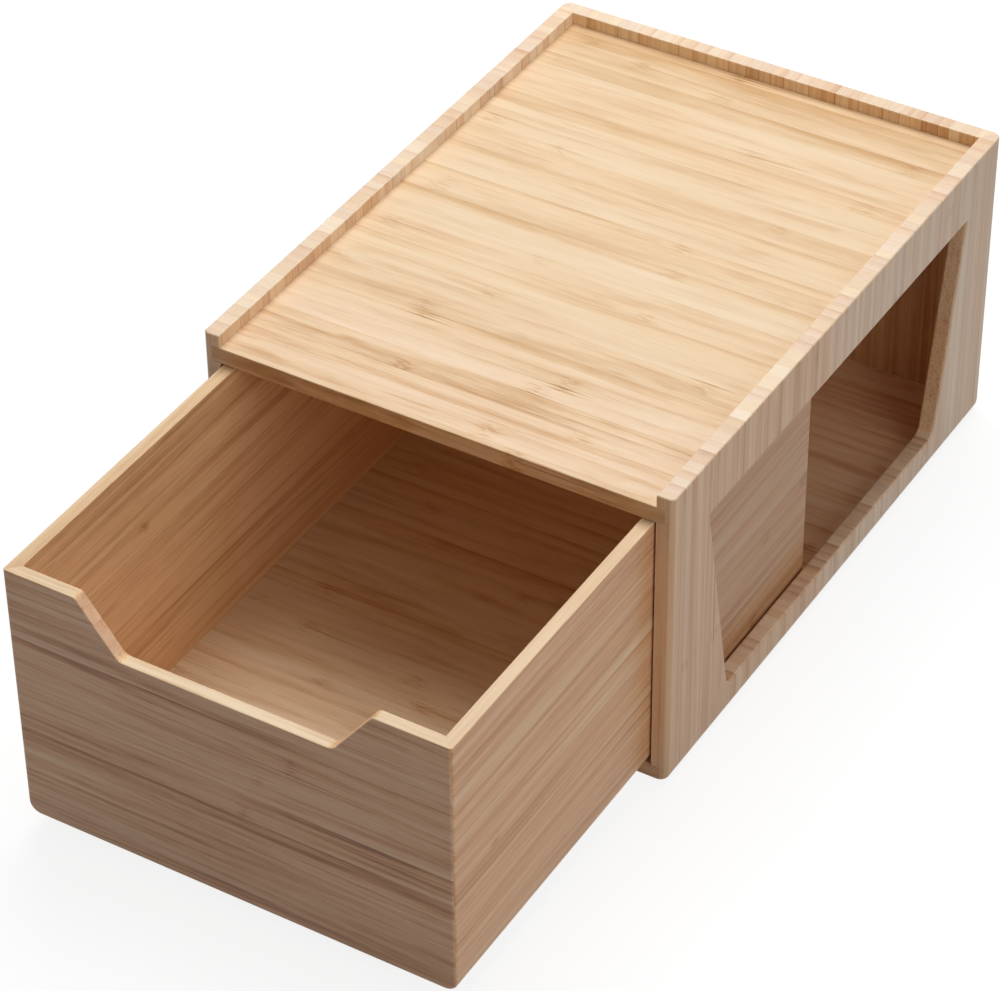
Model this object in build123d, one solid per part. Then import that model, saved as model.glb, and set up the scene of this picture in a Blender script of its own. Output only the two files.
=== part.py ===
from build123d import *
import os

# Stackable drawer box of laminated bamboo board: an open-fronted case with a recessed top and tapered side
# windows, and one drawer with a finger notch. Millimetres, X to the right, Y to the back, Z up.
# The origin is the centre of the case's underside, and the drawer stands partly pulled out.

# Case: outer size and boards, and the rim that the walls leave above the top board
case_width = 226.0
case_depth = 304.0
case_height = 153.5
case_wall = 8.0
top_board = 8.0
bottom_board = 8.0
rim_height = 6.0

# Case: rounding of the outside along the lower side edges, round the front and the back, and along the rim
case_lower_radius = 6.0
case_front_radius = 2.5
case_back_radius = 4.5
case_rim_radius = 1.0

# Window in each side of the case: the rails below and above it, and the posts beside it, which taper upwards
window_lower_rail = 17.0
window_upper_rail = 28.5
window_lower_post = 52.5
window_upper_post = 31.5
window_lower_radius = 4.0
window_upper_radius = 1.0
window_edge_radius = 1.2

# Drawer: running gaps to the case, boards and the distance that it is pulled out
drawer_side_gap = 1.0
drawer_back_gap = 1.0
drawer_head_gap = 0.6
drawer_floor_gap = 0.4
drawer_pull = 155.0
drawer_wall = 6.0
drawer_floor = 4.0
floor_lift = 4.0
floor_play = 0.3

# Drawer: rounding of the outside along the lower side edges, and round the front and the back
drawer_lower_radius = 5.7
drawer_end_radius = 1.5

# Finger notch in the drawer's front: its depth and the shoulders beside it, which taper upwards
notch_depth = 25.0
notch_lower_shoulder = 54.0
notch_upper_shoulder = 35.0
notch_lower_radius = 5.0
notch_upper_radius = 3.0

# Joints, as shares of the wall that is cut: housings and grooves, and the loose tongues across the mitres,
# which lie nearer to the inner corner than to the outer one and stop short of what is above and below them
housing_depth_share = 0.5
tongue_place_share = 0.6
tongue_width_share = 0.85
tongue_thickness_share = 0.32
tongue_stop = 7.0
mitre_angle = 45.0

# Glue line left round a housed board or tongue, easing of the sawn edges, and overrun of the cuts
glue_gap = 0.05
arris_radius = 0.5
overrun = 5.0

# Places on the case that follow
front_y = -case_depth / 2
back_y = case_depth / 2
inner_back_y = back_y - case_wall
side_x = case_width / 2
inner_x = side_x - case_wall
top_face_z = case_height - rim_height
top_under_z = top_face_z - top_board

# Sizes of the drawer that follow
drawer_x = inner_x - drawer_side_gap
drawer_inner_x = drawer_x - drawer_wall
drawer_width = 2 * drawer_x
drawer_depth = case_depth - case_wall - drawer_back_gap
drawer_inner_back = drawer_depth - drawer_wall
drawer_z = bottom_board + drawer_floor_gap
drawer_height = top_under_z - drawer_head_gap - drawer_z


def block(low, high):
    """Box between two corners."""
    size = [far - near for near, far in zip(low, high)]
    return Pos(*low) * Box(*size, align=Align.MIN)


def prism(plan, height):
    """Upright solid on a plan outline of straight edges, standing on the ground plane."""
    return extrude(make_face(Polyline(plan, close=True)), height)


def eased_block(width, depth, height, lower_radius, front_radius, back_radius):
    """Block centred on its base, rounded along its lower side edges and then round its front and back."""
    body = Box(width, depth, height, align=(Align.CENTER, Align.CENTER, Align.MIN))
    body = fillet(body.edges().filter_by(Axis.Y).group_by(Axis.Z)[0], lower_radius)
    for place, radius in ((0, front_radius), (-1, back_radius)):
        face = body.faces().filter_by(Axis.Y).sort_by(Axis.Y)[place]
        body = fillet(face.edges().sort_by(Axis.Z)[:-1], radius)
    return body


def tongue(corner, inward, wall, low_z, high_z, gap):
    """Loose tongue square across the mitre at an outer corner, or its slot when it has a gap all round."""
    length = high_z - low_z
    size = [side + 2 * gap for side in (wall * tongue_width_share, wall * tongue_thickness_share, length)]
    x, y = (at + wall * tongue_place_share * way for at, way in zip(corner, inward))
    turn = -mitre_angle * inward[0] * inward[1]
    return Pos(x, y, low_z + length / 2) * Rot(0, 0, turn) * Box(*size)


# Case: walls with housings, and the two boards let into them

def case_tongue(hand, gap=0):
    """Tongue in the back mitre on one hand of the case, -1 for the left and 1 for the right."""
    corner = (hand * side_x, back_y)
    return tongue(corner, (-hand, -1), case_wall, bottom_board + tongue_stop, top_under_z - tongue_stop, gap)


def case_board(low_z, high_z, gap=0, front_overrun=0):
    """Board let into the sides and the back, or its housing when it runs past their front edges."""
    housing_depth = case_wall * housing_depth_share
    reach_x = inner_x + housing_depth - gap
    reach_y = inner_back_y + housing_depth - gap
    return block((-reach_x, front_y - front_overrun, low_z), (reach_x, reach_y, high_z))


case_cuts = [
    case_board(top_under_z - glue_gap, top_face_z + glue_gap, front_overrun=overrun),
    case_board(-overrun, bottom_board + glue_gap, front_overrun=overrun),
    case_tongue(-1, glue_gap),
    case_tongue(1, glue_gap),
]

case_outside = eased_block(
    case_width,
    case_depth,
    case_height,
    case_lower_radius,
    case_front_radius,
    case_back_radius,
)
case_outside = fillet(case_outside.faces().sort_by(Axis.Z)[-1].edges(), case_rim_radius)


def window():
    """Cutter for the right side's window: wider at its top, with rounded corners."""
    lower_y = back_y - window_lower_post
    upper_y = back_y - window_upper_post
    upper_z = case_height - window_upper_rail
    outline = Plane.YZ * make_face(
        Polyline(
            (-lower_y, window_lower_rail),
            (lower_y, window_lower_rail),
            (upper_y, upper_z),
            (-upper_y, upper_z),
            close=True,
        )
    )
    outline = fillet(outline.vertices().group_by(Axis.Z)[0], window_lower_radius)
    outline = fillet(outline.vertices().group_by(Axis.Z)[-1], window_upper_radius)
    return extrude(outline, side_x + overrun)


def case_side():
    """Right side of the case: windowed, eased along its rim and window, housed, and mitred at the back."""
    plan = [(inner_x, front_y), (side_x, front_y), (side_x, back_y), (inner_x, inner_back_y)]
    board = prism(plan, case_height)
    rim_edges = board.edges().filter_by(Axis.Y).group_by(Axis.Z)[-1]
    board = fillet(rim_edges.sort_by(Axis.X)[0], arris_radius)
    board -= window()
    faces = board.faces().filter_by(Axis.X).sort_by(SortBy.AREA)[-2:]
    window_edges = [edge for face in faces for wire in face.inner_wires() for edge in wire.edges()]
    board = fillet(window_edges, window_edge_radius)
    return (board - case_cuts) & case_outside


def case_back():
    """Back of the case: eased along its rim, housed, and mitred to both sides."""
    plan = [(-side_x, back_y), (side_x, back_y), (inner_x, inner_back_y), (-inner_x, inner_back_y)]
    board = prism(plan, case_height)
    rim_edges = board.edges().filter_by(Axis.X).group_by(Axis.Z)[-1]
    board = fillet(rim_edges.sort_by(Axis.Y)[0], arris_radius)
    return (board - case_cuts) & case_outside


def case_top():
    """Recessed top board, eased along its front edge."""
    board = case_board(top_under_z, top_face_z, glue_gap)
    return fillet(board.edges().filter_by(Axis.X).group_by(Axis.Y)[0], arris_radius)


def case_bottom():
    """Bottom board, flush with the underside, its lower front edge rounded with the rest of the case."""
    board = case_board(0, bottom_board, glue_gap)
    front_edges = board.edges().filter_by(Axis.X).group_by(Axis.Y)[0]
    board = fillet(front_edges.sort_by(Axis.Z)[-1], arris_radius)
    return board & case_outside


# Drawer: built with its front face at y = 0 and its underside on the ground, then moved to its place

def drawer_tongue(hand, end, gap=0):
    """Tongue in one corner of the drawer: hand -1 left or 1 right, end -1 front or 1 back."""
    corner = (hand * drawer_x, drawer_depth if end > 0 else 0)
    low_z = floor_lift + drawer_floor + tongue_stop
    return tongue(corner, (-hand, -end), drawer_wall, low_z, drawer_height - tongue_stop, gap)


def drawer_panel(edge_gap, face_gap):
    """Floor panel that stands in the walls' grooves, or the grooves when it has no gap at its edges."""
    start_y = drawer_wall - drawer_wall * housing_depth_share + edge_gap
    reach_x = drawer_x - start_y
    low = (-reach_x, start_y, floor_lift - face_gap)
    high = (reach_x, drawer_depth - start_y, floor_lift + drawer_floor + face_gap)
    return block(low, high)


drawer_cuts = [drawer_panel(0, glue_gap)]
drawer_cuts += [drawer_tongue(hand, end, glue_gap) for hand in (-1, 1) for end in (-1, 1)]

drawer_outside = Pos(0, drawer_depth / 2) * eased_block(
    drawer_width,
    drawer_depth,
    drawer_height,
    drawer_lower_radius,
    drawer_end_radius,
    drawer_end_radius,
)


def finished_wall(board, plan):
    """Drawer wall cut to its mitred plan, grooved, slotted and rounded outside."""
    return ((board & prism(plan, drawer_height)) - drawer_cuts) & drawer_outside


def drawer_front():
    """Front of the drawer with its finger notch, eased along the top edge and round the notch."""
    lower_x = drawer_x - notch_lower_shoulder
    upper_x = drawer_x - notch_upper_shoulder
    notch_z = drawer_height - notch_depth
    outline = Plane.XZ * make_face(
        Polyline(
            (-drawer_x, 0),
            (drawer_x, 0),
            (drawer_x, drawer_height),
            (upper_x, drawer_height),
            (lower_x, notch_z),
            (-lower_x, notch_z),
            (-upper_x, drawer_height),
            (-drawer_x, drawer_height),
            close=True,
        )
    )
    outline = fillet(outline.vertices().group_by(Axis.Z)[1], notch_lower_radius)
    outline = fillet(outline.vertices().group_by(Axis.Z)[-1].sort_by(Axis.X)[1:-1], notch_upper_radius)
    board = extrude(outline, -drawer_wall)
    faces = board.faces().filter_by(Axis.Y)
    top_edges = [face.edges().filter_by(Axis.Z, reverse=True).sort_by(Axis.Z)[1:] for face in faces]
    board = fillet([edge for edges in top_edges for edge in edges], arris_radius)
    plan = [(-drawer_x, 0), (drawer_x, 0), (drawer_inner_x, drawer_wall), (-drawer_inner_x, drawer_wall)]
    return finished_wall(board, plan)


def drawer_back():
    """Back of the drawer, a plain wall eased along its top edge."""
    board = block((-drawer_x, drawer_inner_back, 0), (drawer_x, drawer_depth, drawer_height))
    board = fillet(board.edges().filter_by(Axis.X).group_by(Axis.Z)[-1], arris_radius)
    plan = [
        (-drawer_inner_x, drawer_inner_back),
        (drawer_inner_x, drawer_inner_back),
        (drawer_x, drawer_depth),
        (-drawer_x, drawer_depth),
    ]
    return finished_wall(board, plan)


def drawer_side():
    """Right side of the drawer, eased along its top edge and mitred at both ends."""
    board = block((drawer_inner_x, 0, 0), (drawer_x, drawer_depth, drawer_height))
    board = fillet(board.edges().filter_by(Axis.Y).group_by(Axis.Z)[-1], arris_radius)
    plan = [
        (drawer_x, 0),
        (drawer_x, drawer_depth),
        (drawer_inner_x, drawer_inner_back),
        (drawer_inner_x, drawer_wall),
    ]
    return finished_wall(board, plan)


# Pieces by name, the drawer's moved to where it stands, pulled out of the case

right_side = case_side()
nodes = {
    "case_left_side": mirror(right_side, about=Plane.YZ),
    "case_right_side": right_side,
    "case_back": case_back(),
    "case_top": case_top(),
    "case_bottom": case_bottom(),
    "case_left_spline": case_tongue(-1),
    "case_right_spline": case_tongue(1),
}

right_wall = drawer_side()
drawer_nodes = {
    "drawer_front": drawer_front(),
    "drawer_left_side": mirror(right_wall, about=Plane.YZ),
    "drawer_right_side": right_wall,
    "drawer_back": drawer_back(),
    "drawer_bottom": drawer_panel(floor_play, 0),
    "drawer_front_left_spline": drawer_tongue(-1, -1),
    "drawer_front_right_spline": drawer_tongue(1, -1),
    "drawer_back_left_spline": drawer_tongue(-1, 1),
    "drawer_back_right_spline": drawer_tongue(1, 1),
}

drawer_place = Pos(0, front_y - drawer_pull, drawer_z)
nodes.update({name: drawer_place * piece for name, piece in drawer_nodes.items()})

os.makedirs("parts", exist_ok=True)
for name, piece in nodes.items():
    export_step(piece, f"parts/{name}.step")
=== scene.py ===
"""Looks of a stackable bamboo drawer box: finishes for its boards, a plain studio and the camera."""

import logging
import math
from dataclasses import dataclass, replace
from enum import Enum

import bpy
from bpy.types import Material, NodeSocket, Object, ShaderNode, ShaderNodeTree
from mathutils import Color, Matrix, Vector


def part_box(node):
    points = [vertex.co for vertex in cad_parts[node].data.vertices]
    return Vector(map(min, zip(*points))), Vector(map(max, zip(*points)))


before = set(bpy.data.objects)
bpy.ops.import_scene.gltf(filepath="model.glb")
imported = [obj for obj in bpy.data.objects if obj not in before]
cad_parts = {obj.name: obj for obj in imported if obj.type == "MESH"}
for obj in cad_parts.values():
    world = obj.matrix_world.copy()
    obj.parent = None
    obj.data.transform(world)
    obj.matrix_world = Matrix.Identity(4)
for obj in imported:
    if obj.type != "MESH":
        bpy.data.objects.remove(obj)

LOG = logging.getLogger("drawer_box")
MILLIMETRES_PER_METRE = 1000.0
DISPLAY_WHITE = 255
QUARTER_TURN = 90.0

Colour = tuple[float, float, float, float]
Luck = tuple[NodeSocket, NodeSocket, NodeSocket]
WHITE: Colour = (1.0, 1.0, 1.0, 1.0)


class BoardAxis(Enum):
    """Directions of the box: across its width, along its depth and up its height."""

    ACROSS = 0
    DEEP = 1
    UP = 2


class Outward(Enum):
    """Which way a board's outer face looks: up the axis through the board, or down it."""

    HIGH = 1.0
    LOW = -1.0


def display_colour(red: int, green: int, blue: int) -> Colour:
    """Turns a display colour, each part from 0 to 255, into the linear one that shaders take."""
    shown = Color([value / DISPLAY_WHITE for value in (red, green, blue)])
    return (*shown.from_srgb_to_scene_linear(), 1.0)


def grey(level: float) -> Colour:
    """Gives an even grey of a level in linear light."""
    return (level, level, level, 1.0)


def corners_of(node: str) -> list[list[float]]:
    """Gives a node's lowest and highest corner in millimetres."""
    return [[value * MILLIMETRES_PER_METRE for value in corner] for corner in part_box(node)]


def lowest(node: str, axis: BoardAxis) -> float:
    """Gives a node's lowest place along an axis in millimetres."""
    return corners_of(node)[0][axis.value]


def highest(node: str, axis: BoardAxis) -> float:
    """Gives a node's highest place along an axis in millimetres."""
    return corners_of(node)[1][axis.value]


@dataclass(frozen=True)
class Span:
    """A stretch over which something comes in smoothly, from none at its start to all at its end."""

    start: float
    end: float


class Graph:
    """Short calls that add shader nodes to a tree and hand back their sockets."""

    # The mixing node has a set of sockets for each kind of data, and these are the ones for colours
    MIXED_COLOURS = (6, 7)
    MIXED_RESULT = 2

    def __init__(self, tree: ShaderNodeTree) -> None:
        """Starts on a tree, which is emptied first."""
        self.tree = tree
        tree.nodes.clear()

    def node(self, kind: str, **settings: object) -> ShaderNode:
        """Adds a node.

        Args:
            kind: Blender's name for the kind of node.
            settings: Properties to set on it.

        Returns:
            The new node.
        """
        made = self.tree.nodes.new(kind)
        for name, value in settings.items():
            setattr(made, name, value)
        return made

    def feed(self, socket: NodeSocket, value: NodeSocket | float | tuple) -> None:
        """Links a socket into another one, or sets a plain value on it.

        Args:
            socket: The input to fill.
            value: The output to link into it, or its value.
        """
        if isinstance(value, NodeSocket):
            self.tree.links.new(value, socket)
        else:
            socket.default_value = value

    def math(self, operation: str, *values: NodeSocket | float) -> NodeSocket:
        """Adds one sum.

        Args:
            operation: Blender's name for the operation.
            values: Its operands, in order.

        Returns:
            The socket that carries the result.
        """
        made = self.node("ShaderNodeMath", operation=operation)
        for socket, value in zip(made.inputs, values):
            self.feed(socket, value)
        return made.outputs[0]

    def times(self, *values: NodeSocket | float) -> NodeSocket:
        """Multiplies sockets and numbers.

        Args:
            values: The factors.

        Returns:
            Their product.
        """
        result = values[0]
        for value in values[1:]:
            result = self.math("MULTIPLY", result, value)
        return result

    def total(self, *values: NodeSocket | float) -> NodeSocket:
        """Adds sockets and numbers up.

        Args:
            values: What is added.

        Returns:
            The sum.
        """
        result = values[0]
        for value in values[1:]:
            result = self.math("ADD", result, value)
        return result

    def centred(self, value: NodeSocket, swing: float) -> NodeSocket:
        """Turns a value from 0 to 1 into one from minus half to plus half of the swing."""
        return self.math("MULTIPLY_ADD", value, swing, -swing / 2)

    def between(self, share: NodeSocket, first: NodeSocket, second: NodeSocket) -> NodeSocket:
        """Goes from the first value to the second as the share goes from 0 to 1."""
        return self.math("MULTIPLY_ADD", share, self.math("SUBTRACT", second, first), first)

    def apart(self, first: NodeSocket, second: NodeSocket | float) -> NodeSocket:
        """Gives how far two values lie from each other, whichever is the larger."""
        return self.math("ABSOLUTE", self.math("SUBTRACT", first, second))

    def smooth(self, value: NodeSocket, span: Span) -> NodeSocket:
        """Goes smoothly from 0 at a span's start to 1 at its end, whichever of the two is the larger.

        Args:
            value: The value that runs through the span.
            span: The span.

        Returns:
            The share of the way through the span.
        """
        made = self.node("ShaderNodeMapRange", interpolation_type="SMOOTHSTEP")
        low, high = sorted((span.start, span.end))
        ends = (0.0, 1.0) if span.start < span.end else (1.0, 0.0)
        for socket, item in zip(made.inputs, (value, low, high, *ends)):
            self.feed(socket, item)
        return made.outputs[0]

    def combine(self, x: NodeSocket | float, y: NodeSocket | float, z: NodeSocket | float) -> NodeSocket:
        """Makes a vector.

        Args:
            x: Its first part.
            y: Its second part.
            z: Its third part.

        Returns:
            The vector's socket.
        """
        made = self.node("ShaderNodeCombineXYZ")
        for socket, value in zip(made.inputs, (x, y, z)):
            self.feed(socket, value)
        return made.outputs[0]

    def separate(self, vector: NodeSocket) -> tuple[NodeSocket, NodeSocket, NodeSocket]:
        """Takes a vector apart.

        Args:
            vector: The vector's socket.

        Returns:
            Its three parts.
        """
        made = self.node("ShaderNodeSeparateXYZ")
        self.feed(made.inputs[0], vector)
        return tuple(made.outputs)

    def noise(self, vector: NodeSocket, detail: float = 0.0) -> NodeSocket:
        """Adds smooth noise with a period of about one unit of the vector.

        Args:
            vector: Where the noise is read.
            detail: Octaves of finer noise.

        Returns:
            The noise, from 0 to 1.
        """
        made = self.node("ShaderNodeTexNoise", noise_dimensions="3D")
        self.feed(made.inputs["Vector"], vector)
        made.inputs["Scale"].default_value = 1.0
        made.inputs["Detail"].default_value = detail
        return made.outputs["Fac"]

    def chance(self, index: NodeSocket, seed: float) -> Luck:
        """Draws three steady random numbers for each whole index.

        Args:
            index: The index.
            seed: Number of the draw.

        Returns:
            Three numbers from 0 to 1.
        """
        made = self.node("ShaderNodeTexWhiteNoise", noise_dimensions="2D")
        self.feed(made.inputs["Vector"], self.combine(index, seed, 0.0))
        return self.separate(made.outputs["Color"])

    def ramp(self, factor: NodeSocket, stops: tuple[tuple[float, Colour], ...]) -> NodeSocket:
        """Turns a value into a colour.

        Args:
            factor: The value, from 0 to 1.
            stops: Places and colours along the ramp, from 0 to 1 in rising order.

        Returns:
            The colour socket.
        """
        made = self.node("ShaderNodeValToRGB")
        self.feed(made.inputs[0], factor)
        elements = made.color_ramp.elements
        for place, _ in stops[1:-1]:
            elements.new(place)
        for element, (place, colour) in zip(elements, stops):
            element.position = place
            element.color = colour
        return made.outputs["Color"]

    def blend(self, factor: NodeSocket, first: NodeSocket | Colour, second: NodeSocket | Colour,
              mode: str = "MIX") -> NodeSocket:
        """Blends two colours.

        Args:
            factor: Share of the second colour.
            first: Colour or socket under the blend.
            second: Colour or socket laid over it.
            mode: Blender's name for the way of blending.

        Returns:
            The blended colour socket.
        """
        made = self.node("ShaderNodeMix", data_type="RGBA", blend_type=mode)
        self.feed(made.inputs[0], factor)
        for index, colour in zip(self.MIXED_COLOURS, (first, second)):
            self.feed(made.inputs[index], colour)
        return made.outputs[self.MIXED_RESULT]

    def tint(self, share: NodeSocket, colour: NodeSocket, tint: Colour) -> NodeSocket:
        """Stains a colour with a share of a tint."""
        return self.blend(share, colour, tint, mode="MULTIPLY")


@dataclass(frozen=True)
class BambooTones:
    """Colours of a bamboo board from its darkest fibres to its palest ones."""

    dark: Colour
    brown: Colour
    body: Colour
    pale: Colour
    places: tuple[float, float, float, float] = (0.0, 0.3, 0.6, 1.0)

    def stops(self) -> tuple[tuple[float, Colour], ...]:
        """Places the colours along a ramp."""
        return tuple(zip(self.places, (self.dark, self.brown, self.body, self.pale)))


CASE_BAMBOO = BambooTones(
    dark=display_colour(158, 113, 70),
    brown=display_colour(208, 169, 122),
    body=display_colour(235, 209, 174),
    pale=display_colour(248, 230, 204),
)
FLOOR_BAMBOO = BambooTones(
    dark=display_colour(154, 103, 65),
    brown=display_colour(207, 152, 109),
    body=display_colour(239, 199, 160),
    pale=display_colour(250, 229, 198),
)
WALL_BAMBOO = BambooTones(
    dark=display_colour(156, 112, 80),
    brown=display_colour(203, 166, 132),
    body=display_colour(229, 201, 174),
    pale=display_colour(247, 230, 206),
)
# Darker, browner tones that paint shade on the inner face of the case's back
BACK_INNER_SHADE_BAMBOO = BambooTones(
    dark=display_colour(140, 88, 48),
    brown=display_colour(190, 138, 90),
    body=display_colour(219, 174, 126),
    pale=display_colour(240, 210, 168),
)
DRAWER_FRONT_BAMBOO = BambooTones(
    dark=display_colour(150, 102, 72),
    brown=display_colour(203, 151, 115),
    body=display_colour(231, 186, 151),
    pale=display_colour(246, 216, 187),
)
DRAWER_SIDE_BAMBOO = BambooTones(
    dark=display_colour(150, 101, 68),
    brown=display_colour(205, 150, 106),
    body=display_colour(233, 184, 140),
    pale=display_colour(247, 222, 183),
)
DRAWER_INNER_BAMBOO = BambooTones(
    dark=display_colour(158, 114, 74),
    brown=display_colour(208, 163, 119),
    body=display_colour(237, 199, 156),
    pale=display_colour(247, 220, 182),
)
DRAWER_EDGE_BAMBOO = BambooTones(
    dark=display_colour(152, 108, 72),
    brown=display_colour(203, 163, 121),
    body=display_colour(226, 194, 155),
    pale=display_colour(243, 221, 188),
)
PINK_TINT = display_colour(255, 240, 236)
YELLOW_TINT = display_colour(255, 247, 226)
WARM_TINT = display_colour(251, 238, 224)
ROSE_TINT = display_colour(254, 249, 247)
# Grey tint that paints shade on the rear of the drawer's sides
REAR_SHADE_TINT = display_colour(218, 212, 206)
JAMB_TINT = display_colour(255, 238, 216)

# Kinds of face, told apart by one part of their normal
INNER_FACE = Span(-0.50, -0.80)
OUTER_FACE = Span(0.50, 0.80)
EDGE_FACE = Span(0.60, 0.90)
SLANTED_FACE = Span(0.06, 0.18)
SAWN_FACE = Span(0.70, 0.86)
LONG_FACE = Span(0.80, 0.50)


@dataclass(frozen=True)
class Calming:
    """Marks that get quieter past a place, in millimetres over a board's strips."""

    beyond: float
    front_gain: float
    back_gain: float
    run_in: float = 80.0

    def gain(self, graph: Graph, level: NodeSocket) -> NodeSocket:
        """Works out the factor for the marks at a place, from the front gain to the back gain."""
        calm = graph.smooth(level, Span(self.beyond - self.run_in / 2, self.beyond + self.run_in / 2))
        return graph.math("MULTIPLY_ADD", calm, self.back_gain - self.front_gain, self.front_gain)


@dataclass(frozen=True)
class PaintedRimShade:
    """Painted shade of the back rim: a darkening that deepens past a place, in millimetres over a board's
    strips.
    """

    beyond: float
    run_before: float = 25.0
    run_after: float = 20.0
    depth: float = 0.15

    def loss(self, graph: Graph, level: NodeSocket) -> NodeSocket:
        """Works out the painted shade's change of tone at a place, from 0 down to minus the depth."""
        span = Span(self.beyond - self.run_before, self.beyond + self.run_after)
        return graph.times(graph.smooth(level, span), -self.depth)


@dataclass(frozen=True)
class Warmth:
    """A tint up to a place, in millimetres over a board's strips."""

    until: float
    tint: Colour
    run_out: float = 24.0

    def share(self, graph: Graph, level: NodeSocket) -> NodeSocket:
        """Works out the share of the tint, from 1 before its end to 0 past it."""
        return graph.smooth(level, Span(self.until + self.run_out / 2, self.until - self.run_out / 2))


@dataclass(frozen=True)
class PaintedRearShade:
    """Painted shade past a place, in millimetres along a board's grain, on its outer face: a grey tint that
    darkens it.
    """

    beyond: float
    tint: Colour
    run_before: float = 50.0
    run_after: float = 10.0

    def share(self, graph: Graph, along: NodeSocket) -> NodeSocket:
        """Works out the share of the tint, from 0 before its start to 1 past it."""
        return graph.smooth(along, Span(self.beyond - self.run_before, self.beyond + self.run_after))


@dataclass(frozen=True)
class GrainPlace:
    """Where a point lies in its board, in millimetres, and the strip that it belongs to."""

    along: NodeSocket
    over: NodeSocket
    through: NodeSocket
    share: NodeSocket
    joint: NodeSocket
    luck: Luck
    more_luck: Luck
    slat_luck: Luck


@dataclass(frozen=True)
class Surface:
    """A point on a board: its place in millimetres, the way its face looks and what the grain does there."""

    millimetres: list[NodeSocket]
    grain: GrainPlace
    outward: NodeSocket
    inside: NodeSocket
    facing: NodeSocket
    edgeways: NodeSocket
    slanted: NodeSocket
    fibre: NodeSocket
    wear: NodeSocket


@dataclass(frozen=True)
class Marks:
    """Marks drawn out along the grain, which show as lines on faces and as dots on sawn ends.

    Lengths are in millimetres. Detail is the number of octaves of finer marks.
    """

    length: float
    width: float
    detail: float = 1.0

    def draw(self, graph: Graph, grain: GrainPlace) -> NodeSocket:
        """Makes the marks.

        Args:
            graph: The material's graph.
            grain: Place in the board.

        Returns:
            The marks as noise, from 0 to 1.
        """
        along = graph.times(grain.along, 1 / self.length)
        sides = [graph.times(socket, 1 / self.width) for socket in (grain.over, grain.through)]
        return graph.noise(graph.combine(along, *sides), self.detail)


@dataclass(frozen=True)
class StripLay:
    """How a board's strips lie side by side. Lengths are in millimetres."""

    width: float = 6.5
    sway: float = 1.5
    sway_length: float = 150.0
    sway_width: float = 30.0
    lean: float = 0.02
    width_change: float = 1.5
    width_change_rate: float = 0.45
    width_change_row: float = 0.5
    slats_per_strip: float = 0.5
    joint: Span = Span(0.40, 0.08)
    seed_shift: float = 91.0
    strip_shift: float = 37.7
    second_draw: float = 11.0
    slat_draw: float = 23.0

    def place(self, graph: Graph, millimetres: list[NodeSocket], board: "Board") -> GrainPlace:
        """Finds the grain's own coordinates and lays uneven strips side by side.

        Args:
            graph: The material's graph.
            millimetres: Place in the box, as three sockets.
            board: The board, for the way its grain runs.

        Returns:
            The place along the grain, over the strips and through the board, with the strip's luck.
        """
        along = graph.math("ADD", millimetres[board.grain.value], board.seed * self.seed_shift)
        level = millimetres[board.stack.value]
        even = graph.times(level, 1 / self.width)
        row = graph.combine(graph.times(even, self.width_change_rate), board.seed, self.width_change_row)
        steps = graph.total(even, graph.centred(graph.noise(row), self.width_change), board.seed)
        strip = graph.math("FLOOR", steps)
        slat = graph.math("FLOOR", graph.times(steps, self.slats_per_strip))
        share = graph.math("SUBTRACT", steps, strip)
        more_luck = graph.chance(strip, board.seed + self.second_draw)
        curve = graph.combine(
            graph.times(along, 1 / self.sway_length), graph.times(level, 1 / self.sway_width), board.seed)
        bend = graph.centred(graph.noise(curve), 2 * self.sway)
        lean = graph.times(along, graph.centred(more_luck[2], self.lean))
        return GrainPlace(
            along=along,
            over=graph.total(level, graph.times(strip, self.strip_shift), bend, lean),
            through=millimetres[board.thickness()],
            share=share,
            joint=self.joint_line(graph, share),
            luck=graph.chance(strip, board.seed),
            more_luck=more_luck,
            slat_luck=graph.chance(slat, board.seed + self.slat_draw),
        )

    def joint_line(self, graph: Graph, share: NodeSocket) -> NodeSocket:
        """Marks the thin glue line between two strips, from the share of the way over a strip."""
        nearest = graph.math("MINIMUM", share, graph.math("SUBTRACT", 1.0, share))
        return graph.smooth(nearest, Span(self.joint.start / self.width, self.joint.end / self.width))


@dataclass(frozen=True)
class StemNodes:
    """The stem's nodes: bands of flecks on some of the strips, with thin dark lines that trail from them.

    Lengths are in millimetres. Depths are shares of the way along the board's tones.
    """

    spacing: float = 260.0
    share: float = 0.35
    share_blur: float = 0.1
    reach: float = 6.0
    core: float = 0.5
    raggedness: float = 6.0
    depth: float = 0.28
    flecks: Marks = Marks(5.0, 0.9)
    fleck: Span = Span(0.35, 0.65)
    tail_ahead: Span = Span(45.0, 0.0)
    tail_behind: Span = Span(-12.0, -2.0)
    tail_depth: float = 0.25

    def tone(self, graph: Graph, grain: GrainPlace, thread: NodeSocket) -> NodeSocket:
        """Places one node now and then along some of the strips.

        Args:
            graph: The material's graph.
            grain: Place in the board.
            thread: Thin dark lines, of which those near a node get darker.

        Returns:
            How far the nodes take the tone from the board's body colour.
        """
        turns = graph.math("MULTIPLY_ADD", grain.along, 1 / self.spacing, grain.more_luck[0])
        offset = graph.math("MULTIPLY_ADD", graph.math("FRACT", turns), self.spacing, -self.spacing / 2)
        fleck = self.flecks.draw(graph, grain)
        away = graph.math("ADD", graph.math("ABSOLUTE", offset), graph.centred(fleck, self.raggedness))
        rarity = 1.0 - self.share
        present = graph.smooth(
            grain.more_luck[1], Span(rarity - self.share_blur, rarity + self.share_blur))
        band = graph.times(graph.smooth(away, Span(self.reach, self.core)), graph.smooth(fleck, self.fleck))
        tail = graph.times(graph.smooth(offset, self.tail_ahead), graph.smooth(offset, self.tail_behind))
        return graph.total(
            graph.times(band, present, -self.depth),
            graph.times(tail, present, thread, -self.tail_depth),
        )


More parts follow.
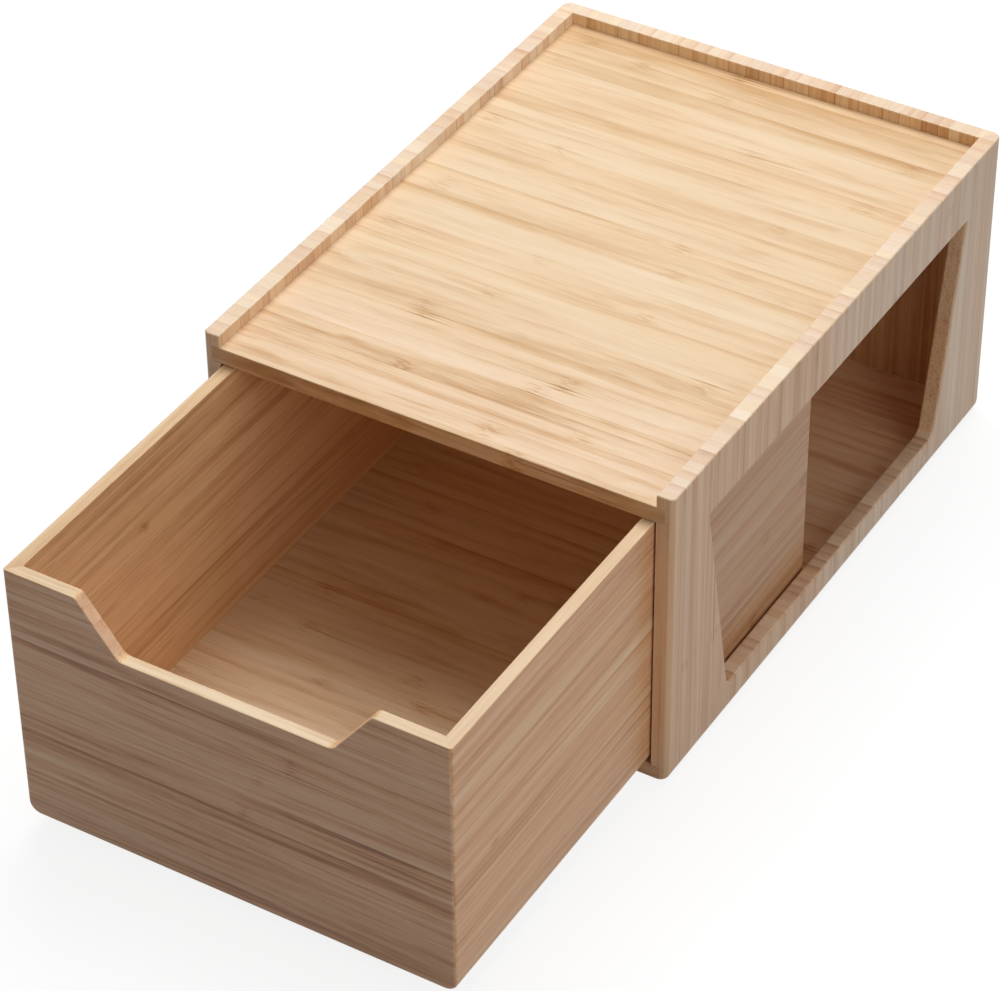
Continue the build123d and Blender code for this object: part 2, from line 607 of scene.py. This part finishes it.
@dataclass(frozen=True)
class SawnEnd:
    """Sawn ends: blocks of different tones, each full of fine pores, with painted shade that darkens them
    low down on the box.

    Lengths are in millimetres. Swings and depths are shares of the way along the board's tones.
    """

    base: float = 0.80
    strip_swing: float = 0.28
    slat_swing: float = 0.14
    layer_swing: float = 0.31
    layer_length: float = 40.0
    layer_thickness: float = 16.0
    rind_side: Span = Span(0.35, 1.0)
    rind_luck: Span = Span(0.2, 0.9)
    rind_depth: float = 0.24
    pores: Marks = Marks(600.0, 0.9, detail=0.0)
    pore: Span = Span(0.46, 0.70)
    pore_depth: float = 0.05
    joint_depth: float = 0.08
    # Painted shade on sawn ends low down, such as the window sills
    shaded_low_down: Span = Span(100.0, 60.0)
    low_shade_depth: float = 0.30

    def tone(self, graph: Graph, grain: GrainPlace, height: NodeSocket) -> NodeSocket:
        """Makes the tone of the ends.

        Args:
            graph: The material's graph.
            grain: Place in the board.
            height: Height over the ground.

        Returns:
            The tone, from dark at 0 to pale at 1.
        """
        through = graph.times(grain.through, 1 / self.layer_thickness)
        along = graph.times(grain.along, 1 / self.layer_length)
        layers = graph.noise(graph.combine(grain.over, through, along), detail=1.0)
        rind = graph.times(
            graph.smooth(grain.share, self.rind_side), graph.smooth(grain.luck[1], self.rind_luck))
        pores = graph.smooth(self.pores.draw(graph, grain), self.pore)
        return graph.total(
            self.base,
            graph.centred(grain.luck[0], self.strip_swing),
            graph.centred(grain.slat_luck[0], self.slat_swing),
            graph.centred(layers, self.layer_swing),
            graph.times(rind, -self.rind_depth),
            graph.times(pores, -self.pore_depth),
            graph.times(grain.joint, -self.joint_depth),
            # Painted shade darkens the sawn ends low down
            graph.times(graph.smooth(height, self.shaded_low_down), -self.low_shade_depth),
        )


@dataclass(frozen=True)
class RimPaintedLight:
    """The rim's inner face, lifted paler than the wall below it as painted light, with strip tones of its
    own.

    Lengths are in millimetres. Swings and depths are shares of the way along the board's tones.
    """

    # Painted light: how far the rim's inner face is lifted
    lift: float = 0.26
    strip_swing: float = 0.36
    fine_swing: float = 0.24
    joint_depth: float = 0.22
    blur: float = 0.3

    def tone(self, graph: Graph, surface: Surface, rim_from: float) -> NodeSocket:
        """Makes the rim's strip tones and its painted light.

        Args:
            graph: The material's graph.
            surface: Point on the board.
            rim_from: Height at which the rim starts.

        Returns:
            How far the painted light and the strip tones take the tone up, or 0 away from the rim.
        """
        height = surface.millimetres[BoardAxis.UP.value]
        above = graph.smooth(height, Span(rim_from - self.blur, rim_from + self.blur))
        reeds_and_painted_light = graph.total(
            self.lift,
            graph.centred(surface.grain.luck[0], self.strip_swing),
            graph.centred(surface.grain.more_luck[0], self.fine_swing),
            graph.times(surface.grain.joint, -self.joint_depth),
        )
        return graph.times(surface.inside, above, reeds_and_painted_light)


@dataclass(frozen=True)
class EdgeWear:
    """Arrises that handling has rubbed a little paler and rougher. Lengths are in millimetres."""

    reach: Span = Span(1.3, 0.1)
    patch_rate: float = 0.11
    patch: Span = Span(0.35, 0.65)
    lift: float = 0.10
    roughening: float = 0.08

    def find(self, graph: Graph, millimetres: list[NodeSocket], board: "Board") -> NodeSocket:
        """Finds the arrises as the places where two of the board's outer faces are near.

        Args:
            graph: The material's graph.
            millimetres: Place in the box, as three sockets.
            board: The board, for its corners.

        Returns:
            The wear, from 0 to 1.
        """
        depths = []
        for place, low, high in zip(millimetres, *corners_of(board.node)):
            off_centre = graph.apart(place, (low + high) / 2)
            depths.append(graph.math("SUBTRACT", (high - low) / 2, off_centre))
        first, second, third = depths
        smaller = graph.math("MINIMUM", first, second)
        larger = graph.math("MAXIMUM", first, second)
        second_nearest = graph.math("MAXIMUM", smaller, graph.math("MINIMUM", larger, third))
        patches = graph.noise(graph.combine(*[graph.times(place, self.patch_rate) for place in millimetres]))
        return graph.times(graph.smooth(second_nearest, self.reach), graph.smooth(patches, self.patch))


@dataclass(frozen=True)
class MitreLine:
    """The hairline of glue in the mitres at a board's ends. Lengths are in millimetres."""

    width: Span = Span(0.35, 0.08)
    depth: float = 0.14

    def tone(self, graph: Graph, millimetres: list[NodeSocket], board: "Board") -> NodeSocket:
        """Draws the line.

        Args:
            graph: The material's graph.
            millimetres: Place in the box, as three sockets.
            board: The board, for the corners where it is mitred.

        Returns:
            How far the line takes the tone down.
        """
        line: NodeSocket | float = 0.0
        across, deep = (millimetres[axis.value] for axis in (BoardAxis.ACROSS, BoardAxis.DEEP))
        sideways = graph.math("ABSOLUTE", across)
        for corner_across, corner_deep in board.mitres:
            from_side = graph.math("SUBTRACT", corner_across, sideways)
            off_line = graph.apart(from_side, graph.apart(deep, corner_deep))
            line = graph.math("MAXIMUM", graph.smooth(off_line, self.width), line)
        return graph.math("MULTIPLY", line, -self.depth)


@dataclass(frozen=True)
class ClearCoat:
    """The satin clear coat: its gloss, and the little of the grain that can be felt through it."""

    roughness: float = 0.44
    fibre_roughness: float = 0.16
    specular: float = 0.32
    weight: float = 0.08
    coat_roughness: float = 0.35
    bump_strength: float = 0.30
    bump_metres: float = 0.00008
    joint_bump: float = 0.8

    def lay(self, graph: Graph, colour: NodeSocket, surface: Surface, roughening: float) -> None:
        """Lays the coat over the colour and ends the graph.

        Args:
            graph: The material's graph.
            colour: The board's colour.
            surface: Point on the board.
            roughening: How much rougher worn arrises are.
        """
        shader = graph.node("ShaderNodeBsdfPrincipled")
        graph.feed(shader.inputs["Base Color"], colour)
        graph.feed(shader.inputs["Roughness"], graph.total(
            self.roughness,
            graph.centred(surface.fibre, self.fibre_roughness),
            graph.times(surface.wear, roughening),
        ))
        shader.inputs["Specular IOR Level"].default_value = self.specular
        shader.inputs["Coat Weight"].default_value = self.weight
        shader.inputs["Coat Roughness"].default_value = self.coat_roughness
        bump = graph.node("ShaderNodeBump")
        bump.inputs["Strength"].default_value = self.bump_strength
        bump.inputs["Distance"].default_value = self.bump_metres
        height = graph.math("MULTIPLY_ADD", surface.grain.joint, -self.joint_bump, surface.fibre)
        graph.feed(bump.inputs["Height"], height)
        graph.feed(shader.inputs["Normal"], bump.outputs[0])
        output = graph.node("ShaderNodeOutputMaterial")
        graph.feed(output.inputs["Surface"], shader.outputs[0])


@dataclass(frozen=True)
class BambooFinish:
    """Clear-coated laminated bamboo: strips glued edge to edge, with fibres, nodes and sawn ends.

    Swings, depths and lifts are shares of the way along the board's tones.
    """

    tones: BambooTones
    inner_tones: BambooTones | None = None
    edge_tones: BambooTones | None = None
    pink_share: float = 0.225
    pink_swing: float = 0.22
    yellow_share: float = 0.275
    yellow_swing: float = 0.28
    body: float = 0.60
    lay: StripLay = StripLay()
    strip_swing: float = 0.14
    joint_depth: float = 0.04
    streaks: Marks = Marks(75.0, 5.0)
    streak_swing: float = 0.62
    lines: Marks = Marks(42.0, 1.6)
    line_swing: float = 0.21
    groove: Span = Span(0.60, 0.76)
    groove_depth: float = 0.06
    fibres: Marks = Marks(9.0, 0.7)
    fibre_swing: float = 0.20
    threads: Marks = Marks(60.0, 1.0, detail=0.0)
    thread: Span = Span(0.66, 0.80)
    thread_depth: float = 0.10
    smudges: Marks = Marks(32.0, 8.0)
    smudge: Span = Span(0.60, 0.78)
    smudge_depth: float = 0.10
    skin_side: Span = Span(0.35, 1.0)
    skin_luck: Span = Span(0.72, 0.82)
    skin_depth: float = 0.16
    specks: Marks = Marks(1.3, 0.62, detail=0.0)
    speck: Span = Span(0.50, 0.64)
    speck_depth: float = 0.30
    slant_lift: float = 0.12
    edge_lift: float = 0.0
    stem: StemNodes = StemNodes()
    sawn: SawnEnd = SawnEnd()
    # Painted light on the rim's inner faces
    rim: RimPaintedLight = RimPaintedLight()
    wear: EdgeWear = EdgeWear()
    mitre: MitreLine = MitreLine()
    coat: ClearCoat = ClearCoat()

    def material(self, board: "Board") -> Material:
        """Builds the shader for one board.

        Args:
            board: The board, for the way its grain runs and its edges.

        Returns:
            A new material with the board's name.
        """
        made = bpy.data.materials.new(board.node)
        made.use_nodes = True
        graph = Graph(made.node_tree)
        surface = self.surface(graph, board)
        colour = self.colour(graph, surface, self.tone(graph, surface, board), board)
        self.coat.lay(graph, colour, surface, self.wear.roughening)
        return made

    def surface(self, graph: Graph, board: "Board") -> Surface:
        """Finds where a point lies on the board and which way its face looks.

        Args:
            graph: The material's graph.
            board: The board, for the way its grain runs and its edges.

        Returns:
            The point on the board.
        """
        place = graph.node("ShaderNodeTexCoord")
        metres = graph.separate(place.outputs["Object"])
        millimetres = [graph.times(socket, MILLIMETRES_PER_METRE) for socket in metres]
        normal = graph.separate(place.outputs["Normal"])
        grain = self.lay.place(graph, millimetres, board)
        outward = graph.times(normal[board.thickness()], board.outward.value)
        facing = graph.math("ABSOLUTE", normal[board.grain.value])
        edgeways = graph.smooth(graph.math("ABSOLUTE", normal[board.stack.value]), EDGE_FACE)
        return Surface(
            millimetres=millimetres,
            grain=grain,
            outward=outward,
            inside=graph.smooth(outward, INNER_FACE),
            facing=facing,
            edgeways=edgeways,
            slanted=graph.times(graph.smooth(facing, SLANTED_FACE), edgeways),
            fibre=self.fibres.draw(graph, grain),
            wear=self.wear.find(graph, millimetres, board),
        )

    def tone(self, graph: Graph, surface: Surface, board: "Board") -> NodeSocket:
        """Adds up all the marks of the board.

        Args:
            graph: The material's graph.
            surface: Point on the board.
            board: The board, for what sets it apart from others of this finish.

        Returns:
            The tone, from dark at 0 to pale at 1.
        """
        level = surface.millimetres[board.stack.value]
        face = self.face_marks(graph, surface)
        if board.calming is not None:
            face = graph.times(face, board.calming.gain(graph, level))
        # Painted shade: the top board darkens towards its back rim
        if board.rim_painted_shade is not None:
            face = graph.math("ADD", face, board.rim_painted_shade.loss(graph, level))
        dots = graph.times(graph.smooth(self.specks.draw(graph, surface.grain), self.speck), surface.slanted)
        face = graph.total(
            face,
            self.body,
            graph.times(dots, -self.speck_depth),
            graph.times(surface.slanted, self.slant_lift),
            graph.times(surface.edgeways, self.edge_lift),
        )
        # Painted light lifts the inner faces of the rim
        if board.rim_from is not None:
            face = graph.math("ADD", face, self.rim.tone(graph, surface, board.rim_from))
        end = self.sawn.tone(graph, surface.grain, surface.millimetres[BoardAxis.UP.value])
        return graph.total(
            graph.between(graph.smooth(surface.facing, SAWN_FACE), face, end),
            graph.times(surface.wear, self.wear.lift),
            self.mitre.tone(graph, surface.millimetres, board),
        )

    def face_marks(self, graph: Graph, surface: Surface) -> NodeSocket:
        """Adds up the marks on the faces of the strips.

        Args:
            graph: The material's graph.
            surface: Point on the board.

        Returns:
            How far the marks take the tone from the board's body colour.
        """
        grain = surface.grain
        line = self.lines.draw(graph, grain)
        thread = graph.smooth(self.threads.draw(graph, grain), self.thread)
        smudge = graph.smooth(self.smudges.draw(graph, grain), self.smudge)
        skin = graph.times(
            graph.smooth(grain.share, self.skin_side), graph.smooth(grain.luck[2], self.skin_luck))
        return graph.total(
            graph.centred(grain.luck[0], self.strip_swing),
            graph.centred(self.streaks.draw(graph, grain), self.streak_swing),
            graph.centred(line, self.line_swing),
            graph.times(graph.smooth(line, self.groove), -self.groove_depth),
            graph.centred(surface.fibre, self.fibre_swing),
            graph.times(thread, -self.thread_depth),
            graph.times(smudge, -self.smudge_depth),
            graph.times(skin, -self.skin_depth),
            graph.times(grain.joint, -self.joint_depth),
            self.stem.tone(graph, grain, thread),
        )

    def colour(self, graph: Graph, surface: Surface, tone: NodeSocket, board: "Board") -> NodeSocket:
        """Turns the tone into a colour and stains it.

        Args:
            graph: The material's graph.
            surface: Point on the board.
            tone: The tone, from dark at 0 to pale at 1.
            board: The board, for the stains of its own.

        Returns:
            The colour.
        """
        colour = graph.ramp(tone, self.tones.stops())
        for share, tones in ((surface.inside, self.inner_tones), (surface.edgeways, self.edge_tones)):
            if tones is not None:
                colour = graph.blend(share, colour, graph.ramp(tone, tones.stops()))
        luck = surface.grain.luck
        pink = graph.math("ADD", self.pink_share, graph.centred(luck[1], self.pink_swing))
        yellow = graph.math("ADD", self.yellow_share, graph.centred(luck[2], self.yellow_swing))
        colour = graph.tint(pink, colour, PINK_TINT)
        colour = graph.tint(yellow, colour, YELLOW_TINT)
        colour = graph.tint(surface.slanted, colour, JAMB_TINT)
        # Painted shade: the outer faces of the drawer's sides darken towards their rear
        if board.rear_painted_shade is not None:
            rear_shade_share = board.rear_painted_shade.share(graph, surface.millimetres[board.grain.value])
            rear_shade_share = graph.times(rear_shade_share, graph.smooth(surface.outward, OUTER_FACE))
            colour = graph.tint(rear_shade_share, colour, board.rear_painted_shade.tint)
        if board.warmth is not None:
            warm = board.warmth.share(graph, surface.millimetres[board.stack.value])
            warm = graph.times(warm, graph.smooth(surface.facing, LONG_FACE))
            colour = graph.tint(warm, colour, board.warmth.tint)
        return colour


TOP_FINISH = BambooFinish(
    CASE_BAMBOO,
    lay=StripLay(sway=2.2),
    streaks=Marks(60.0, 6.0),
    # Painted shade darkens the board's front and back edges
    edge_lift=-0.26,
    stem=StemNodes(share=0.60, reach=9.0, depth=0.22),
)
FLOOR_FINISH = replace(TOP_FINISH, tones=FLOOR_BAMBOO, strip_swing=0.20)
CASE_WALL_FINISH = BambooFinish(
    WALL_BAMBOO,
    pink_swing=0.45,
    yellow_swing=0.55,
    lay=StripLay(sway=0.6),
    strip_swing=0.15,
    joint_depth=0.08,
    streaks=Marks(200.0, 5.0),
    streak_swing=0.45,
    lines=Marks(160.0, 2.0),
    line_swing=0.72,
    skin_depth=0.10,
    edge_lift=0.12,
)
# Painted shade: the back's inner face takes darker tones
CASE_BACK_FINISH = replace(CASE_WALL_FINISH, inner_tones=BACK_INNER_SHADE_BAMBOO)
DRAWER_FINISH = BambooFinish(
    DRAWER_SIDE_BAMBOO,
    DRAWER_INNER_BAMBOO,
    DRAWER_EDGE_BAMBOO,
    lay=StripLay(width=7.0, sway=3.0),
    strip_swing=0.20,
    joint_depth=0.02,
    streaks=Marks(160.0, 5.0),
    streak_swing=0.74,
    lines=Marks(100.0, 1.6),
    line_swing=0.56,
    groove_depth=0.05,
    fibres=Marks(12.0, 0.7),
    fibre_swing=0.34,
    skin_depth=0.14,
    edge_lift=0.16,
)
DRAWER_FRONT_FINISH = replace(
    DRAWER_FINISH,
    tones=DRAWER_FRONT_BAMBOO,
    strip_swing=0.14,
    streak_swing=0.75,
    lines=Marks(70.0, 1.9),
    line_swing=1.08,
    groove_depth=0.12,
    fibre_swing=0.50,
    skin_depth=0.20,
)


@dataclass
class Board:
    """One board of the box: its grain, the way its strips are stacked, its finish and its mitres.

    The seed sets the board's own draw of strips and marks. Lengths are in millimetres.
    """

    node: str
    grain: BoardAxis
    stack: BoardAxis
    finish: BambooFinish
    seed: float
    outward: Outward = Outward.HIGH
    mitres: tuple[tuple[float, float], ...] = ()
    rim_from: float | None = None
    calming: Calming | None = None
    rim_painted_shade: PaintedRimShade | None = None
    warmth: Warmth | None = None
    rear_painted_shade: PaintedRearShade | None = None

    def thickness(self) -> int:
        """Gives the number of the axis through the board."""
        return ({axis.value for axis in BoardAxis} - {self.grain.value, self.stack.value}).pop()

    def dress(self) -> Object:
        """Puts the finish on the board's solid.

        Returns:
            The dressed object.
        """
        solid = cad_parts[self.node]
        solid.data.materials.clear()
        solid.data.materials.append(self.finish.material(self))
        return solid


@dataclass
class Case:
    """The open-fronted case: walls with upright grain, level boards. Lengths are in millimetres."""

    half_width: float
    back: float
    rim_from: float
    side_calming: Calming = Calming(beyond=80.0, front_gain=1.00, back_gain=0.66)
    side_warmth: Warmth = Warmth(until=-18.0, tint=WARM_TINT)
    top_calming: Calming = Calming(beyond=-90.0, front_gain=1.40, back_gain=0.70)
    # Painted shade along the top's back rim
    top_rim_painted_shade: PaintedRimShade = PaintedRimShade(beyond=118.0)
    top_warmth: Warmth = Warmth(until=-90.0, tint=ROSE_TINT, run_out=100.0)

    @classmethod
    def measured(cls) -> "Case":
        """Takes the case's sizes from its parts in model.glb.

        Returns:
            The case.
        """
        return cls(
            half_width=highest("case_right_side", BoardAxis.ACROSS),
            back=highest("case_back", BoardAxis.DEEP),
            rim_from=highest("case_top", BoardAxis.UP),
        )

    def boards(self) -> list[Board]:
        """Lists the case's pieces with their finishes.

        Returns:
            The boards, in the order in which they are dressed.
        """
        up, deep, across = BoardAxis.UP, BoardAxis.DEEP, BoardAxis.ACROSS
        wall = dict(mitres=((self.half_width, self.back),), rim_from=self.rim_from)
        side = dict(calming=self.side_calming, warmth=self.side_warmth, **wall)
        top = dict(calming=self.top_calming, rim_painted_shade=self.top_rim_painted_shade, warmth=self.top_warmth)
        return [
            Board("case_left_side", up, deep, CASE_WALL_FINISH, seed=3.0, outward=Outward.LOW, **side),
            Board("case_right_side", up, deep, CASE_WALL_FINISH, seed=8.0, **side),
            Board("case_back", up, across, CASE_BACK_FINISH, seed=13.0, **wall),
            Board("case_top", across, deep, TOP_FINISH, seed=21.0, **top),
            Board("case_bottom", across, deep, FLOOR_FINISH, seed=27.0),
            Board("case_left_spline", up, across, CASE_WALL_FINISH, seed=31.0),
            Board("case_right_spline", up, across, CASE_WALL_FINISH, seed=33.0),
        ]

    def dress(self) -> None:
        """Dresses the case's pieces and reports each one."""
        for board in self.boards():
            LOG.info("case: %s dressed", board.dress().name)


@dataclass
class Drawer:
    """The drawer: walls with level grain and a floor panel. Lengths are in millimetres."""

    half_width: float
    front: float
    back: float
    # Painted shade on the rear of the drawer's sides
    side_rear_painted_shade: PaintedRearShade = PaintedRearShade(beyond=-120.0, tint=REAR_SHADE_TINT)

    @classmethod
    def measured(cls) -> "Drawer":
        """Takes the drawer's sizes from its parts in model.glb.

        Returns:
            The drawer.
        """
        return cls(
            half_width=highest("drawer_right_side", BoardAxis.ACROSS),
            front=lowest("drawer_front", BoardAxis.DEEP),
            back=highest("drawer_back", BoardAxis.DEEP),
        )

    def boards(self) -> list[Board]:
        """Lists the drawer's pieces with their finishes.

        Returns:
            The boards, in the order in which they are dressed.
        """
        up, deep, across = BoardAxis.UP, BoardAxis.DEEP, BoardAxis.ACROSS
        wall = dict(mitres=((self.half_width, self.front), (self.half_width, self.back)))
        side = dict(rear_painted_shade=self.side_rear_painted_shade, **wall)
        low = Outward.LOW
        walls = [
            Board("drawer_front", across, up, DRAWER_FRONT_FINISH, seed=41.0, outward=low, **wall),
            Board("drawer_back", across, up, DRAWER_FINISH, seed=43.0, **wall),
            Board("drawer_left_side", deep, up, DRAWER_FINISH, seed=47.0, outward=low, **side),
            Board("drawer_right_side", deep, up, DRAWER_FINISH, seed=53.0, **side),
            Board("drawer_bottom", across, deep, TOP_FINISH, seed=59.0),
        ]
        tongues = [
            Board(f"drawer_{end}_{hand}_spline", up, across, DRAWER_FINISH, seed=61.0)
            for end in ("front", "back")
            for hand in ("left", "right")
        ]
        return walls + tongues

    def dress(self) -> None:
        """Dresses the drawer's pieces and reports each one."""
        for board in self.boards():
            LOG.info("drawer: %s dressed", board.dress().name)


@dataclass(frozen=True)
class Softbox:
    """A large rectangular lamp. Lengths are in metres."""

    name: str
    place: tuple[float, float, float]
    width: float
    height: float
    watts: float
    aim: tuple[float, float, float] = (0.0, 0.0, 0.1)

    def build(self) -> Object:
        """Hangs the lamp and points it.

        Returns:
            The lamp's object.
        """
        lamp = bpy.data.lights.new(self.name, "AREA")
        lamp.shape = "RECTANGLE"
        lamp.size = self.width
        lamp.size_y = self.height
        lamp.energy = self.watts
        made = bpy.data.objects.new(self.name, lamp)
        bpy.context.scene.collection.objects.link(made)
        made.location = self.place
        made.rotation_mode = "QUATERNION"
        made.rotation_quaternion = (Vector(self.aim) - Vector(self.place)).to_track_quat("-Z", "Y")
        return made


@dataclass
class Studio:
    """White sweep, soft lamps and even surrounding light. Lengths are in metres."""

    floor_reach: float = 6.0
    floor_drop: float = 0.0002
    floor_bounce: float = 0.40
    floor_white: float = 0.19
    floor_glow: float = 0.86
    surround: float = 0.17
    overhead: Softbox = Softbox("overhead_softbox", (-0.22, 0.42, 1.5), width=1.1, height=1.1, watts=19.8)
    side: Softbox = Softbox("side_softbox", (1.36, -0.50, 0.70), width=1.0, height=0.9, watts=5.2)

    def build(self) -> None:
        """Sets up the floor, the surrounding light and the lamps, and reports them."""
        LOG.info("studio: %s laid", self.floor().name)
        self.surroundings()
        for lamp in (self.overhead, self.side):
            LOG.info("studio: %s hung", lamp.build().name)

    def seen_or_lit(self, graph: Graph, lit: NodeSocket, seen: NodeSocket) -> NodeSocket:
        """Shows one shader to the camera, reflections and clear surfaces, and lights with another.

        Args:
            graph: The graph of the floor or the surroundings.
            lit: Shader that bounced light meets.
            seen: Shader that the camera, a reflection or a clear surface shows.

        Returns:
            The mixed shader's socket.
        """
        path = graph.node("ShaderNodeLightPath")
        mirrored = graph.math("MAXIMUM", path.outputs["Is Glossy Ray"], path.outputs["Is Transmission Ray"])
        mix = graph.node("ShaderNodeMixShader")
        graph.feed(mix.inputs[0], graph.math("MAXIMUM", path.outputs["Is Camera Ray"], mirrored))
        graph.feed(mix.inputs[1], lit)
        graph.feed(mix.inputs[2], seen)
        return mix.outputs[0]

    def floor(self) -> Object:
        """Lays a wide pale floor that keeps the box's shadow.

        Returns:
            The floor's object.
        """
        mesh = bpy.data.meshes.new("studio_floor")
        reach, level = self.floor_reach, -self.floor_drop
        signs = ((-1, -1), (1, -1), (1, 1), (-1, 1))
        corners = [(reach * across, reach * deep, level) for across, deep in signs]
        mesh.from_pydata(corners, [], [range(len(corners))])
        mesh.materials.append(self.floor_paint())
        made = bpy.data.objects.new("studio_floor", mesh)
        bpy.context.scene.collection.objects.link(made)
        return made

    def floor_paint(self) -> Material:
        """Mixes the floor's paint.

        Returns:
            A material that looks white and bounces less light than white would.
        """
        paint = bpy.data.materials.new("studio_floor")
        paint.use_nodes = True
        graph = Graph(paint.node_tree)
        bounce = graph.node("ShaderNodeBsdfDiffuse")
        bounce.inputs["Color"].default_value = grey(self.floor_bounce)
        white = graph.node("ShaderNodeBsdfDiffuse")
        white.inputs["Color"].default_value = grey(self.floor_white)
        glow = graph.node("ShaderNodeEmission")
        glow.inputs["Strength"].default_value = self.floor_glow
        shown = graph.node("ShaderNodeAddShader")
        graph.feed(shown.inputs[0], white.outputs[0])
        graph.feed(shown.inputs[1], glow.outputs[0])
        output = graph.node("ShaderNodeOutputMaterial")
        graph.feed(output.inputs["Surface"], self.seen_or_lit(graph, bounce.outputs[0], shown.outputs[0]))
        return paint

    def surroundings(self) -> None:
        """Surrounds the box with white that gives only a little light."""
        world = bpy.data.worlds.new("studio_surroundings")
        world.use_nodes = True
        bpy.context.scene.world = world
        graph = Graph(world.node_tree)
        light = graph.node("ShaderNodeBackground")
        light.inputs["Strength"].default_value = self.surround
        white = graph.node("ShaderNodeBackground")
        for background in (light, white):
            background.inputs["Color"].default_value = WHITE
        output = graph.node("ShaderNodeOutputWorld")
        graph.feed(output.inputs["Surface"], self.seen_or_lit(graph, light.outputs[0], white.outputs[0]))


@dataclass(frozen=True)
class PhotoCamera:
    """A long lens at the photograph's place. Lengths are in metres, angles in degrees."""

    place: tuple[float, float, float] = (0.67749, -1.21307, 1.12330)
    azimuth: float = 31.306
    elevation: float = 38.826
    roll: float = -0.608
    lens_share: float = 3.8944
    sensor_millimetres: float = 36.0
    far_clip: float = 100.0

    def build(self) -> Object:
        """Sets the camera up and makes it the scene's own.

        Returns:
            The camera's object.
        """
        lens = bpy.data.cameras.new("photo_camera")
        lens.sensor_width = self.sensor_millimetres
        lens.lens = self.sensor_millimetres * self.lens_share
        lens.clip_end = self.far_clip
        made = bpy.data.objects.new("photo_camera", lens)
        bpy.context.scene.collection.objects.link(made)
        turn = self.turned(self.azimuth, "Z")
        tilt = self.turned(QUARTER_TURN - self.elevation, "X")
        roll = self.turned(self.roll, "Z")
        made.matrix_world = Matrix.Translation(self.place) @ turn @ tilt @ roll
        bpy.context.scene.camera = made
        return made

    def turned(self, degrees: float, axis: str) -> Matrix:
        """Gives a turn about an axis as a matrix of 4 by 4."""
        return Matrix.Rotation(math.radians(degrees), 4, axis)


def main() -> None:
    """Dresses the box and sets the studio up."""
    logging.basicConfig(level=logging.INFO, format="%(name)s: %(message)s")
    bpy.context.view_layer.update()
    bpy.context.scene.view_settings.view_transform = "Standard"
    Case.measured().dress()
    Drawer.measured().dress()
    Studio().build()
    LOG.info("studio: %s placed", PhotoCamera().build().name)


if __name__ == "__main__":
    main()
